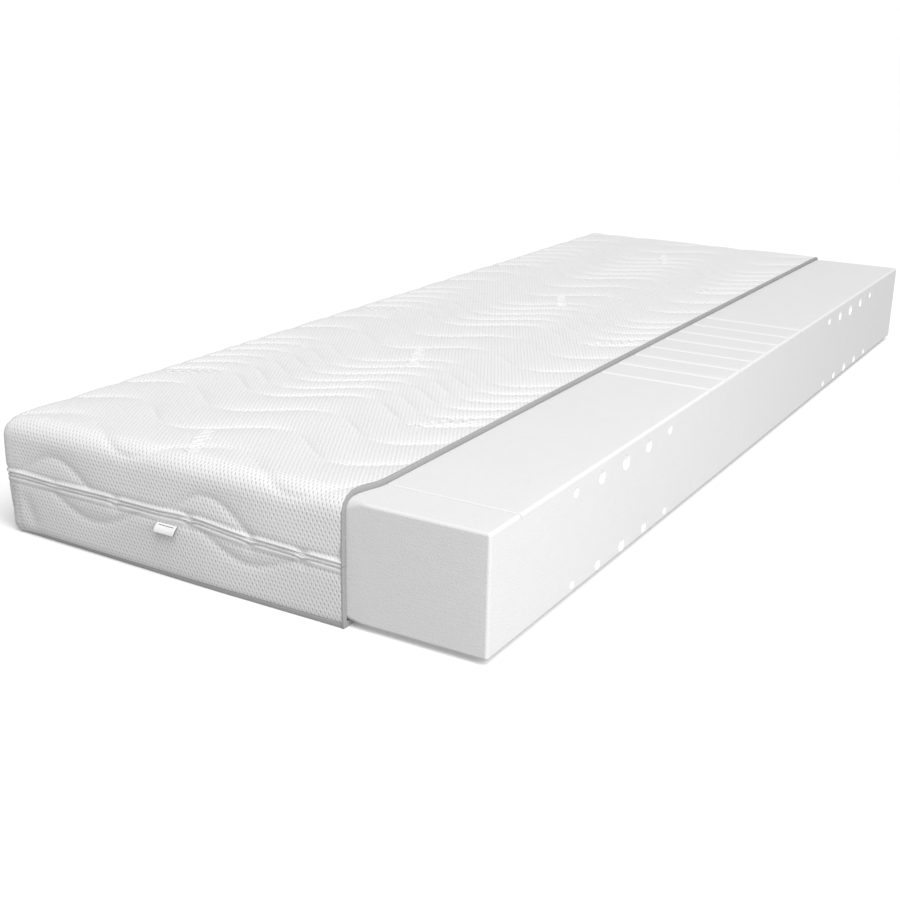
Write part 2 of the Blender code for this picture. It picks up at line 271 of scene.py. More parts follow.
def plastic_material():
    k = Nodes("zip_coil_nylon")
    co = k.add("ShaderNodeTexCoord").outputs["Object"]
    n = k.noise(co, 700.0, 2.0, 0.5)
    k.bsdf.inputs["Specular IOR Level"].default_value = 0.5
    return k.finish(k.ramp(n, [(0.3, grey(0.70)), (0.7, grey(0.78))]), None, 0.42)


KNIT = knit_material("white_knit_fabric", KNIT_TONE)
# painted shade: the border is a darker copy of the same knit, standing in for the shade low on the wall near the floor
KNIT_LOW_PAINTED_SHADE = knit_material("white_knit_border_painted_shade", KNIT_TONE * 0.945)
HEM = plain_cloth("motif_yarn", 0.82, 0.0011, 0.00022, 0.25, 0.04)
TAPE = plain_cloth("zip_tape_cloth", 0.76, 0.00075, 0.00020, 0.2, 0.03)
GREY = plain_cloth("grey_binding_cloth", 0.33, 0.0008, 0.00016, 0.1, 0.02)
BASE_GREY = plain_cloth("grey_base_cloth", 0.42, 0.0008, 0.00016, 0.1, 0.02)
LINING = plain_cloth("lining_cloth", 0.78, 0.0010, 0.00020, 0.1, 0.04)
WADDING = plain_cloth("wadding_fleece", 0.88, 0.0031, 0.00060, 0.3, 0.06)
SATIN = plain_cloth("label_satin_cloth", 0.79, 0.00045, 0.00006, 0.3, 0.02)
# dark thread for the label's stitches, also used as painted shade along the label's side edge
THREAD_AND_EDGE_SHADE = plain_cloth("sewing_thread_and_painted_edge_shade", 0.12, 0.0006, 0.00010, 0.1, 0.02)
MEMORY = foam_material("memory_foam_cells", 0.710)
SUPPORT = foam_material("support_foam_cells", 0.710)
# painted highlight: the groove and slit walls are a lighter copy of the foam, standing in for light catching them
GROOVE_PAINTED_HIGHLIGHT = foam_material("groove_wall_painted_highlight_foam", 0.76)
# painted light: the bore walls are a lighter copy of the foam with a faint glow, so the bores look bright
BORE_PAINTED_GLOW = foam_material("bore_wall_painted_glow_foam", 0.84, 0.13)
METAL = metal_material()
NYLON = plastic_material()


# ------------------------------------------------------------------ mesh kit
def build(name, verts, faces, mat, uvs=None, calm=None, smooth=True):
    """An object from vertices and faces; uvs is one (u, v) for each vertex, calm one value for each."""
    me = bpy.data.meshes.new(name)
    me.from_pydata([tuple(map(float, v)) for v in verts], [], [tuple(int(i) for i in f) for f in faces])
    me.validate(clean_customdata=False)
    me.update()
    me.materials.append(mat)
    if uvs is not None:
        layer = me.uv_layers.new(name="weave")
        idx = np.empty(len(me.loops), dtype=np.int32)
        me.loops.foreach_get("vertex_index", idx)
        layer.data.foreach_set("uv", np.asarray(uvs, dtype=np.float32)[idx].ravel())
        second = me.uv_layers.new(name="calm")
        c = np.zeros((len(uvs), 2), dtype=np.float32)
        if calm is not None:
            c[:, 0] = calm
        second.data.foreach_set("uv", c[idx].ravel())
    if smooth:
        me.polygons.foreach_set("use_smooth", [True] * len(me.polygons))
        me.set_sharp_from_angle(angle=math.radians(50))
    ob = bpy.data.objects.new(name, me)
    bpy.context.scene.collection.objects.link(ob)
    return ob


def sheet_mesh(outer, inner, faces):
    """Close a surface of (n, 3) outer points with its inner twin: both skins and the rims."""
    n = len(outer)
    verts = np.vstack([outer, inner])
    back = [tuple(i + n for i in reversed(f)) for f in faces]
    edge = {}
    for f in faces:
        for a, b in zip(f, f[1:] + f[:1]):
            edge[(a, b)] = edge.get((a, b), 0) + 1
    rims = [(b, a, a + n, b + n) for (a, b) in edge if (b, a) not in edge]
    return verts, list(faces) + back + rims


def grid_faces(rows, cols, base=0):
    return [(base + r * cols + c, base + r * cols + c + 1, base + (r + 1) * cols + c + 1, base + (r + 1) * cols + c)
            for r in range(rows - 1) for c in range(cols - 1)]


def recalc(ob):
    """Point every face outwards."""
    bm = bmesh.new()
    bm.from_mesh(ob.data)
    bmesh.ops.recalc_face_normals(bm, faces=bm.faces)
    bm.to_mesh(ob.data)
    bm.free()


# ------------------------------------------------------------------ quilting relief
WAVE_A, WAVE_L, WAVE_X0 = 0.0376, 0.2774, -0.0189
# bands of sewn lines from the near end: open bands with wide gaps between dense ones with narrow gaps
BANDS = ((3, 0.104), (1, 0.094), (5, 0.050), (3, 0.106), (4, 0.0545), (3, 0.1073), (5, 0.0572), (4, 0.114))
LINES = [-1.176, -1.072]
for count, gap in BANDS:
    LINES += [LINES[-1] + gap * (i + 1) for i in range(count)]
LINES = np.array(LINES)


def relief(x, yu, lines=LINES, x0=WAVE_X0, deep=0.0022, amp=WAVE_A, near=0.0115, far=0.0048):
    """Height of the quilted surface at unrolled plan coordinates: each sewn wave falls gently on its near side and rises steeply on its far side."""
    k = 2 * math.pi / WAVE_L
    ph = k * (x - x0)
    slope = amp * k * np.sin(ph)
    q = yu - amp * np.cos(ph)
    i = np.clip(np.searchsorted(lines, q), 1, len(lines) - 1)
    past, ahead = q - lines[i - 1], lines[i] - q
    c = 1 / np.sqrt(1 + slope * slope)
    gap = lines[i] - lines[i - 1]
    pinch = -deep * (np.exp(-ahead * c / np.minimum(near, 0.17 * gap)) + np.exp(-past * c / np.minimum(far, 0.075 * gap)))
    puff = 0.0012 * np.sin(math.pi * np.clip(past / gap, 0, 1))
    return pinch + puff


def undulate(x, y, scale, size, seed=0.0):
    """Smooth, seeded wrinkling."""
    return np.array([noise.noise(Vector((a * scale, b * scale, seed))) for a, b in zip(np.ravel(x), np.ravel(y))]).reshape(np.shape(x)) * size


# ------------------------------------------------------------------ the cover's outer surface
ARC = EDGE_R * math.pi / 2


def wall_lean(z, c=0.0):
    """How far the side wall stands out from the upright at a height: a slight belly, a tuck at the foot, and where c is 1, at the closed side, a lean inwards towards the foot."""
    t = np.clip(z / TOP, 0, 1)
    lean = 0.0046 * np.clip((0.150 - z) / 0.150, 0, 1) ** 1.2
    foot_tuck = 0.0014 + 0.0042 * c
    return 0.0010 * np.sin(math.pi * t) - c * lean - foot_tuck * np.clip(1 - z / 0.018, 0, 1) ** 2


def closeness(s, total):
    """0 at the display cut, rising to 1 towards the closed corners."""
    t = np.clip((np.minimum(s, total - s) - 0.16) / 0.42, 0, 1)
    return t * t * (3 - 2 * t)


def surface(foot, normal, drop, lift, c=0.0):
    """Points on the cover: drop is measured down the fabric from the flat top's edge, lift outwards."""
    phi = np.clip(drop / EDGE_R, 0, math.pi / 2)
    down = np.maximum(drop - ARC, 0)
    r = EDGE_R + lift
    out = r * np.sin(phi)
    z = TOP - EDGE_R + r * np.cos(phi) - down
    flat = drop <= 0
    z = np.where(flat, TOP + lift, z)
    out = np.where(flat, 0, out) + np.where(down > 0, wall_lean(z, c), 0)
    return np.stack([foot[..., 0] + normal[..., 0] * out, foot[..., 1] + normal[..., 1] * out, z], -1)


X_FLAT = LEFT + EDGE_R
Y_FLAT = HALF - EDGE_R
BACK = BIND_W + 0.0003


def plan_rows():
    """Row parameters along the length, closer together at every sewn line, and a multiple of three gaps."""
    q = list(np.linspace(-Y_FLAT, Y_FLAT, 62))
    for line in LINES:
        q += [line + off for off in (-0.021, -0.0125, -0.0070, -0.0030, 0.0, 0.0020, 0.0048, 0.0095)]
    q += list(np.arange(-Y_FLAT, -Y_FLAT + 0.072, 0.0040)) + list(np.arange(Y_FLAT - 0.072, Y_FLAT, 0.0055))
    q = sorted(v for v in q if -Y_FLAT <= v <= Y_FLAT)
    keep = [q[0]]
    for value in q[1:]:
        if value - keep[-1] > 0.0017:
            keep.append(value)
    keep[-1] = Y_FLAT
    while (len(keep) - 1) % 3:
        del keep[-2]
    return np.array(keep)


ROWS = plan_rows()
COLS = np.linspace(0, 1, 113)          # 0 at the closed side's edge, 1 at the cut


def fade(q):
    """How much a plan row follows the waves: not at all at the ends."""
    t = np.clip((Y_FLAT - np.abs(q)) / 0.075, 0, 1)
    return t * t * (3 - 2 * t)


def top_grid():
    """(rows, cols) plan coordinates of the flat top, rows following the sewn waves."""
    x = np.zeros((len(ROWS), len(COLS)))
    y = np.zeros_like(x)
    for r, q in enumerate(ROWS):
        xr = X_FLAT + COLS * (cut_x(q) - BACK - X_FLAT)
        for _ in range(3):
            yr = q + fade(q) * WAVE_A * np.cos(2 * math.pi / WAVE_L * (xr - WAVE_X0))
            xr = X_FLAT + COLS * (cut_x(yr) - BACK - X_FLAT)
        x[r], y[r] = xr, yr
    return x, y


GX, GY = top_grid()
FAN = 9                                                  # facets in each corner


def skirt_columns():
    """Every column of the wall: its foot on the flat top's edge, its plan normal, weave u and where it starts in the top grid."""
    nr, nc = GX.shape
    foot, normal, kind, start = [], [], [], []
    for c in range(nc - 1, -1, -1):
        foot.append((GX[0, c], -Y_FLAT)); normal.append((0, -1)); kind.append(0); start.append(c)
    for i in range(1, FAN):
        a = math.radians(270 - 90 * i / FAN)
        m = (abs(math.cos(a)) ** 5 + abs(math.sin(a)) ** 5) ** -0.2      # squarer than a circle
        foot.append((X_FLAT, -Y_FLAT)); normal.append((m * math.cos(a), m * math.sin(a))); kind.append(1); start.append(0)
    for r in range(nr):
        foot.append((X_FLAT, GY[r, 0])); normal.append((-1, 0)); kind.append(2); start.append(r * nc)
    for i in range(1, FAN):
        a = math.radians(180 - 90 * i / FAN)
        m = (abs(math.cos(a)) ** 5 + abs(math.sin(a)) ** 5) ** -0.2
        foot.append((X_FLAT, Y_FLAT)); normal.append((m * math.cos(a), m * math.sin(a))); kind.append(3); start.append((nr - 1) * nc)
    for c in range(nc):
        foot.append((GX[-1, c], Y_FLAT)); normal.append((0, 1)); kind.append(4); start.append((nr - 1) * nc + c)
    return np.array(foot), np.array(normal, float), np.array(kind), np.array(start)


FOOT, NORMAL, KIND, START = skirt_columns()


def unrolled(drop):
    """Unrolled plan coordinates of every wall point: where the fabric would lie if it were flat."""
    d = drop[None, :] if drop.ndim == 1 else drop
    x = FOOT[:, 0:1] + NORMAL[:, 0:1] * d
    y = FOOT[:, 1:2] + NORMAL[:, 1:2] * d
    return x, y


def run_length():
    """Length along the wall from the near end's cut, for wrinkles and the zip."""
    wall = FOOT + NORMAL * EDGE_R
    seg = np.hypot(*np.diff(wall, axis=0).T)
    return np.concatenate([[0], np.cumsum(seg)])


RUN = run_length()
CLOSED = closeness(RUN, RUN[-1])


ZIP_POINTS = ((-0.01, 0.0850), (0.06, 0.0858), (0.14, 0.0874), (0.24, 0.0938), (0.31, 0.0914), (0.38, 0.0917),
              (0.49, 0.0903), (0.56, 0.0912), (0.62, 0.0888), (0.70, ZIP_Z))


def zip_line(s):
    """Height of the zip's centre line along the wall: it wanders along the near end, where the cloth is loosest, and runs straight along the side that its slider uses."""
    s = np.asarray(s, float) - 0.003
    z = np.full_like(s, ZIP_Z)
    for (s0, z0), (s1, z1) in zip(ZIP_POINTS, ZIP_POINTS[1:]):
        t = np.clip((s - s0) / (s1 - s0), 0, 1)
        z = np.where((s >= s0) & (s < s1), z0 + (z1 - z0) * t * t * (3 - 2 * t), z)
    for at, size in PUCKERS:
        z = z - size * np.exp(-((s - at) / 0.0075) ** 2)
    return z


# puckers along the near end, measured from the cut, then a regular scatter on the other sides
PUCKERS = [(0.057, 0.0026), (0.141, 0.0020), (0.244, 0.0022), (0.375, 0.0016), (0.492, 0.0008)]
FAR_PUCKERS = [(2.66 + 0.118 * i + 0.02 * math.sin(i * 2.7), 0.0012) for i in range(5)]
SIDE_PUCKERS = [(0.72 + 0.149 * i + 0.03 * math.sin(i * 2.7), 0.0007 + 0.0003 * math.sin(i * 1.9)) for i in range(12)]


def pucker(s):
    """Depth that the fabric is drawn in beside the zip, 0 to 1."""
    s = np.asarray(s, float) - 0.003
    out = np.zeros_like(s)
    for at, size in PUCKERS + FAR_PUCKERS + SIDE_PUCKERS:
        out += size / 0.0024 * np.exp(-((s - at) / 0.0070) ** 2)
    return out


def strip_height(s):
    """Height of the grey strip that shows at the foot: full at the cut, thinner towards the closed corner, where the cloth hangs over it."""
    s = np.asarray(s, float)
    t = np.clip(s / 0.50, 0, 1)
    h = BASE_T + 0.0006 - 0.0014 * t * t * (3 - 2 * t)
    u = np.clip((s - 0.525) / 0.070, 0, 1)
    return h - (h - 0.0018) * u * u * (3 - 2 * u)


ZLINE = zip_line(RUN)
PUCK = pucker(RUN)


def wall_relief(ux, uy, **how):
    """The quilting on a wall, where both banks of a line are soft."""
    return relief(ux, uy, near=0.0045, far=0.0045, **how)


def upper_knit():
    """The knit over the top and down to the zip: one sheet, pinched along the sewn waves, turned in at the zip."""
    nr, nc = GX.shape
    thick = 0.0016
    lift_top = relief(GX, GY) + undulate(GX, GY, 5.0, 0.0011, 3.0) - 0.0004
    top = np.stack([GX, GY, TOP + lift_top], -1).reshape(-1, 3)
    top_in = top - np.array([0, 0, thick])
    top_uv = np.stack([GX, GY], -1).reshape(-1, 2)
    # the wall: rows over the rounded edge, then down to the lip, closer together near it
    z_lip = ZLINE + ZIP_HALF
    end = ARC + (TOP - EDGE_R) - z_lip                   # drop at the lip of each column
    main = 26
    tail = np.array([0.0100, 0.0082, 0.0064, 0.0050, 0.0038, 0.0028, 0.0019, 0.0011, 0.0005, 0.0])
    t = np.linspace(0, 1, main + 1)[1:]
    drop = np.concatenate([t[None, :] * (end - 0.0125)[:, None], end[:, None] - tail[None, :]], 1)
    steps = drop.shape[1]
    ux, uy = unrolled(drop)
    blend = np.clip(drop / 0.030, 0, 1)
    lift = relief(ux, uy) * (1 - blend) + wall_relief(ux, uy) * blend + undulate(ux, uy, 5.0, 0.0011, 3.0) - 0.0004
    to_lip = end[:, None] - drop
    near_lip = np.clip(1 - to_lip / 0.014, 0, 1)
    # the lip: a soft roll along the zip over a shallow hollow, drawn in at each pucker
    roll = 0.0013 * np.exp(-((to_lip - 0.0016) / 0.0016) ** 2)
    hollow = -0.0009 * np.exp(-((to_lip - 0.0066) / 0.0030) ** 2)
    pull = -0.0034 * PUCK[:, None] * np.exp(-(to_lip / 0.0065) ** 2)
    lift = lift * (1 - near_lip ** 2) + roll + hollow + pull
    foot = np.repeat(FOOT[:, None, :], steps, 1)
    normal = np.repeat(NORMAL[:, None, :], steps, 1)
    wall = surface(foot, normal, drop, lift, CLOSED[:, None])
    wall_in = surface(foot, normal, drop, lift - thick, CLOSED[:, None])
    # turned-in rows: round the lip's edge and back under it
    curl = np.stack([surface(FOOT, NORMAL, end + down, lift[:, -1] - inn, CLOSED)
                     for down, inn in ((0.0005, 0.0004), (0.0007, 0.0011), (0.0007, 0.0019))], 1)
    side = np.concatenate([NORMAL, np.zeros((len(NORMAL), 1))], 1)[:, None, :]
    wall = np.concatenate([wall, curl], 1)
    wall_in = np.concatenate([wall_in, curl + np.array([0, 0, 0.0009]) - side * 0.0003], 1)
    rows = wall.shape[1]
    wuv = np.concatenate([np.stack([ux, uy], -1), np.repeat(np.stack([ux[:, -1:], uy[:, -1:]], -1), 3, 1)], 1)
    calm = np.clip(1.25 - to_lip / 0.0042, 0, 1)
    corner = np.where((KIND == 1) | (KIND == 3), 0.45, 0.0)[:, None] * np.clip(drop / 0.04, 0, 1)
    calm = np.maximum(calm, corner)
    calm = np.concatenate([calm, np.ones((len(FOOT), 3))], 1)
    n0 = len(top)
    outer = np.vstack([top, wall.reshape(-1, 3)])
    inner = np.vstack([top_in, wall_in.reshape(-1, 3)])
    uv = np.vstack([top_uv, wuv.reshape(-1, 2)])
    calm = np.concatenate([np.zeros(n0), calm.ravel()])
    faces = [tuple(f) for f in grid_faces(nr, nc)]
    for j in range(len(FOOT) - 1):
        a, b = n0 + j * rows, n0 + (j + 1) * rows
        sa, sb = int(START[j]), int(START[j + 1])
        faces.append((sa, b, a) if sa == sb else (sa, sb, b, a))
        for i in range(rows - 1):
            faces.append((a + i, b + i, b + i + 1, a + i + 1))
    verts, all_faces = sheet_mesh(outer, inner, faces)
    return build("upper_cover_fabric", verts, all_faces, KNIT, np.vstack([uv, uv]), np.concatenate([calm, calm]))


STRIP = strip_height(RUN)


def lower_knit():
    """The border knit, from the zip down to the base binding."""
    thick = 0.0016
    z_hi = ZLINE - ZIP_HALF
    z_lo = STRIP + 0.0002
    head = np.array([0.0, 0.0005, 0.0012, 0.0020, 0.0029, 0.0039, 0.0050, 0.0064, 0.0082, 0.0102])
    t = np.linspace(0, 1, 20)[1:]
    top_drop = ARC + (TOP - EDGE_R) - z_hi
    bot_drop = ARC + (TOP - EDGE_R) - z_lo
    drop = np.concatenate([top_drop[:, None] + head[None, :],
                           (top_drop + 0.0102)[:, None] + t[None, :] * (bot_drop - top_drop - 0.0102)[:, None]], 1)
    steps = drop.shape[1]
    ux, uy = unrolled(drop)
    # the border is cut from another stretch of cloth, so its waves are flatter and sit elsewhere
    lift = wall_relief(ux, uy, lines=LINES - 0.0195, x0=WAVE_X0 - 0.0685, deep=0.0023, amp=0.024)
    lift = lift + undulate(ux, uy, 6.0, 0.0013, 9.0) - 0.0004
    # a soft fold beside the closed corner, where the border is eased round it
    z = TOP - EDGE_R - (drop - ARC)
    corner_run = RUN[np.argmax(KIND == 1)]
    s = RUN[:, None]
    lift = lift - 0.0020 * np.exp(-((s - corner_run + 0.020 + 0.25 * (0.055 - z)) / 0.011) ** 2) * np.sin(math.pi * np.clip(z / 0.082, 0, 1)) ** 2
    from_lip = drop - top_drop[:, None]
    near_lip = np.clip(1 - from_lip / 0.013, 0, 1)
    roll = 0.0003 * np.exp(-((from_lip - 0.0022) / 0.0019) ** 2)
    hollow = -0.0007 * np.exp(-((from_lip - 0.0075) / 0.0034) ** 2)
    pull = -0.0028 * PUCK[:, None] * np.exp(-(from_lip / 0.0065) ** 2)
    foot_in = -0.0005 * np.clip(1 - (bot_drop[:, None] - drop) / 0.005, 0, 1)
    lift = lift * (1 - near_lip ** 2) + roll + hollow + pull + foot_in
    foot = np.repeat(FOOT[:, None, :], steps, 1)
    normal = np.repeat(NORMAL[:, None, :], steps, 1)
    wall = surface(foot, normal, drop, lift, CLOSED[:, None])
    wall_in = surface(foot, normal, drop, lift - thick, CLOSED[:, None])
    curl = np.stack([surface(FOOT, NORMAL, top_drop - up, lift[:, 0] - inn, CLOSED)
                     for up, inn in ((0.0007, 0.0019), (0.0007, 0.0011), (0.0005, 0.0004))], 1)
    side = np.concatenate([NORMAL, np.zeros((len(NORMAL), 1))], 1)[:, None, :]
    wall = np.concatenate([curl, wall], 1)
    wall_in = np.concatenate([curl - np.array([0, 0, 0.0009]) - side * 0.0003, wall_in], 1)
    wuv = np.stack([ux, uy], -1)
    wuv = np.concatenate([np.repeat(wuv[:, :1], 3, 1), wuv], 1)
    calm = np.clip(1.25 - from_lip / 0.0046, 0, 1)
    corner = np.where((KIND == 1) | (KIND == 3), 0.6, 0.0)[:, None]
    calm = np.maximum(calm, corner)
    calm = np.concatenate([np.ones((len(FOOT), 3)), calm], 1)
    rows = wall.shape[1]
    faces = [(j * rows + i, (j + 1) * rows + i, (j + 1) * rows + i + 1, j * rows + i + 1)
             for j in range(len(FOOT) - 1) for i in range(rows - 1)]
    verts, all_faces = sheet_mesh(wall.reshape(-1, 3), wall_in.reshape(-1, 3), faces)
    uv = wuv.reshape(-1, 2)
    return build("lower_cover_fabric", verts, all_faces, KNIT_LOW_PAINTED_SHADE, np.vstack([uv, uv]), np.concatenate([calm.ravel()] * 2))


def motifs():
    """Woven rows of slanted rings, a plain device in relief, repeated over the top."""
    bm = bmesh.new()
    around, tube = 14, 5

    def ring(centre, ahead, aside, out, long, wide, slant, surface_at):
        rows = []
        for i in range(around):
            a = 2 * math.pi * i / around
            u = math.cos(a) * long + math.sin(a) * wide * slant
            w = math.sin(a) * wide
            tangent = Vector((-math.sin(a) * long + math.cos(a) * wide * slant, math.cos(a) * wide, 0)).normalized()
            flat = Vector((tangent.y, -tangent.x, 0))
            loop = []
            for j in range(tube):
                b = 2 * math.pi * j / tube
                across = 0.00085 * math.cos(b)
                up = 0.00060 * math.sin(b)
                p = centre + ahead * (u + flat.x * across) + aside * (w + flat.y * across)
                loop.append(bm.verts.new(surface_at(p) + out * up))
            rows.append(loop)
        for i in range(around):
            a, b = rows[i], rows[(i + 1) % around]
            for j in range(tube):
                k = (j + 1) % tube
                bm.faces.new((a[j], b[j], b[k], a[k]))

    def on_top(p):
        x, y = np.array([p.x]), np.array([p.y])
        h = relief(x, y)[0] + undulate(x, y, 5.0, 0.0011, 3.0)[0] - 0.0004
        return Vector((p.x, p.y, TOP + h + 0.0001))

    columns = ((-0.3275, 51, (-0.672, -0.117, 0.438, 0.93)), (-0.0795, -25, (-0.940, -0.3875, 0.166, 0.7225)), (0.152, 42, (-0.675, -0.112, 0.45)))
    for cx, turn, places in columns:
        for n, cy in enumerate(places):
            a = math.radians(turn)
            ahead, aside = Vector((math.sin(a), math.cos(a), 0)), Vector((math.cos(a), -math.sin(a), 0))
            for i in range(7):
                big = 1.25 if i in (0, 4) else 0.85
                c = Vector((cx, cy, 0)) + ahead * (0.0165 * (i - 3))
                if c.x > cut_x(c.y) - 0.014 or c.x < X_FLAT + 0.012 or abs(c.y) > Y_FLAT - 0.002:
                    continue
                ring(c, ahead, aside, Vector((0, 0, 1)), 0.0062, 0.0096 * big, 0.35, on_top)
    me = bpy.data.meshes.new("woven_ring_motifs")
    bmesh.ops.recalc_face_normals(bm, faces=bm.faces)
    bm.to_mesh(me)
    bm.free()
    me.materials.append(HEM)
    me.polygons.foreach_set("use_smooth", [True] * len(me.polygons))
    ob = bpy.data.objects.new("woven_ring_motifs", me)
    bpy.context.scene.collection.objects.link(ob)
    return ob


# ------------------------------------------------------------------ section sweeps along the wall
def path_frames(depth, every=1):
    """Points, plan normals and run lengths along the wall at a depth below the outer face."""
    idx = np.arange(0, len(FOOT), every)
    if idx[-1] != len(FOOT) - 1:
        idx = np.append(idx, len(FOOT) - 1)
    p = FOOT[idx] + NORMAL[idx] * (EDGE_R - depth)
    return p, NORMAL[idx], RUN[idx], idx


def band(name, profile, mat, zc, every=1, uv_scale=1.0):
    """Sweep a closed profile of (outward, height) points round the wall, with caps. zc is the centre height by run."""
    idx = np.arange(0, len(FOOT), every)
    if idx[-1] != len(FOOT) - 1:
        idx = np.append(idx, len(FOOT) - 1)
    prof = np.array(profile)
    n, m = len(prof), len(idx)
    verts = np.zeros((m, n, 3))
    for j, i in enumerate(idx):
        z = zc[i] + prof[:, 1]
        out = EDGE_R + prof[:, 0] + wall_lean(z, CLOSED[i])
        verts[j, :, 0] = FOOT[i, 0] + NORMAL[i, 0] * out
        verts[j, :, 1] = FOOT[i, 1] + NORMAL[i, 1] * out
        verts[j, :, 2] = z
    faces = []
    for j in range(m - 1):
        for i in range(n):
            k = (i + 1) % n
            faces.append((j * n + i, (j + 1) * n + i, (j + 1) * n + k, j * n + k))
    faces.append(tuple(range(n)))
    faces.append(tuple((m - 1) * n + i for i in reversed(range(n))))
    area = sum(prof[i][0] * prof[(i + 1) % n][1] - prof[(i + 1) % n][0] * prof[i][1] for i in range(n))
    if area > 0:
        faces = [tuple(reversed(f)) for f in faces]
    return build(name, verts.reshape(-1, 3), faces, mat)


def zip_parts():
    """Two smooth tapes that meet in a fine ridge over the coils sewn behind them."""
    pieces = []
    dip = -0.0003
    for side, name in ((1, "upper"), (-1, "lower")):
        prof = [(dip + out, side * up) for out, up in (
            (-0.0026, 0.0108), (-0.0026, 0.0062), (-0.0012, 0.0046), (-0.0007, 0.0032), (-0.0010, 0.0021), (0.0001, 0.0013),
            (0.0006, 0.0006), (0.0005, 0.00015), (-0.0006, 0.00015), (-0.0005, 0.0006), (-0.0010, 0.0013), (-0.0017, 0.0021),
            (-0.0014, 0.0032), (-0.0019, 0.0046), (-0.0032, 0.0062), (-0.0032, 0.0108))]
        zc = ZLINE - 0.0
        ob = band(name + "_zip_tape_cloth", prof, TAPE, zc, every=2)
        pieces.append((ob, name + "_zip_tape"))
    # coils: scalloped rows that interlock, behind the tapes
    pitch = 0.0018
    total = RUN[-1]
    for side, name in ((1, "upper"), (-1, "lower")):
        count = int(total / pitch) * 2
        s = (np.arange(count) + (0 if side > 0 else 1)) * pitch / 2
        s = s[s < total - 0.001]
        xs = np.interp(s, RUN, FOOT[:, 0]); ys = np.interp(s, RUN, FOOT[:, 1])
        nx = np.interp(s, RUN, NORMAL[:, 0]); ny = np.interp(s, RUN, NORMAL[:, 1])
        zc = np.interp(s, RUN, ZLINE)
        closed = closeness(s, total)
        sides = 6
        verts, faces = [], []
        for j in range(len(s)):
            fat = j % 2 == 0
            rad = 0.00105 if fat else 0.00062
            cz = zc[j] + side * (0.00115 if fat else 0.00150)
            for i in range(sides):
                a = 2 * math.pi * i / sides
                dep = 0.0045 - rad * math.cos(a)
                z = cz + rad * math.sin(a)
                out = EDGE_R - dep + float(wall_lean(z, closed[j]))
                verts.append((xs[j] + nx[j] * out, ys[j] + ny[j] * out, z))
        for j in range(len(s) - 1):
            for i in range(sides):
                k = (i + 1) % sides
                faces.append((j * sides + i, (j + 1) * sides + i, (j + 1) * sides + k, j * sides + k))
        faces.append(tuple(range(sides)))
        faces.append(tuple((len(s) - 1) * sides + i for i in reversed(range(sides))))
        ob = build(name + "_zip_coil_teeth", verts, faces, NYLON)
        recalc(ob)
        pieces.append((ob, name + "_zip_coil"))
    return pieces


# ------------------------------------------------------------------ hidden layers: wadding and lining
def shell(name, mat, d0, d1, z_end, over, wrinkle=0.0, seed=0.0, z_low=None):
    """A plain layer between two depths, over the top or round the border only."""
    def layer(depth):
        """Outer points of the layer pulled in by depth."""
        if over:
            top = np.stack([GX, GY, np.full_like(GX, TOP - depth)], -1)[::3]
        steps = 12
        if over:
            drop = np.linspace(0, 1, steps + 1)[1:] * (ARC + TOP - EDGE_R - z_end)
        else:
            drop = ARC + TOP - EDGE_R - np.linspace(z_end, z_low, steps)
        cols = COLSUB
        d = np.repeat(drop[None, :], len(cols), 0)
        foot = np.repeat(FOOT[cols][:, None, :], len(drop), 1)
        nrm = np.repeat(NORMAL[cols][:, None, :], len(drop), 1)
        lift = np.full(d.shape, -depth)
        if wrinkle:
            lift = lift + undulate(FOOT[cols][:, 0:1] + nrm[..., 0] * d, FOOT[cols][:, 1:2] + nrm[..., 1] * d, 9.0, wrinkle, seed)
        phi = np.clip(d / EDGE_R, 0, math.pi / 2)
        r = EDGE_R + lift
        out = r * np.sin(phi)
        z = TOP - EDGE_R + r * np.cos(phi) - np.maximum(d - ARC, 0)
        out = out + np.where(d > ARC, wall_lean(z, CLOSED[cols][:, None]), 0)
        wall = np.stack([foot[..., 0] + nrm[..., 0] * out, foot[..., 1] + nrm[..., 1] * out, z], -1)
        if over:
            if wrinkle:
                top = top + np.stack([np.zeros_like(top[..., 0])] * 2 + [undulate(top[..., 0], top[..., 1], 9.0, wrinkle, seed)], -1)
            return top, wall
        return None, wall

    t0, w0 = layer(d0)
    t1, w1 = layer(d1)
    rows = w0.shape[1]
    if over:
        nr, nc = t0.shape[:2]
        n0 = nr * nc
        outer = np.vstack([t0.reshape(-1, 3), w0.reshape(-1, 3)])
        inner = np.vstack([t1.reshape(-1, 3), w1.reshape(-1, 3)])
        faces = [tuple(f) for f in grid_faces(nr, nc)]
        for j in range(len(COLSUB) - 1):
            a, b = n0 + j * rows, n0 + (j + 1) * rows
            sa, sb = STARTSUB[j], STARTSUB[j + 1]
            faces.append((sa, b, a) if sa == sb else (sa, sb, b, a))
            for i in range(rows - 1):
                faces.append((a + i, b + i, b + i + 1, a + i + 1))
    else:
        outer, inner = w0.reshape(-1, 3), w1.reshape(-1, 3)
        faces = [(j * rows + i, (j + 1) * rows + i, (j + 1) * rows + i + 1, j * rows + i + 1)
                 for j in range(len(COLSUB) - 1) for i in range(rows - 1)]
    verts, all_faces = sheet_mesh(outer, inner, faces)
    return build(name, verts, all_faces, mat)


# the hidden layers take every third plan row, so their walls do as well
COLSUB, STARTSUB = [], []


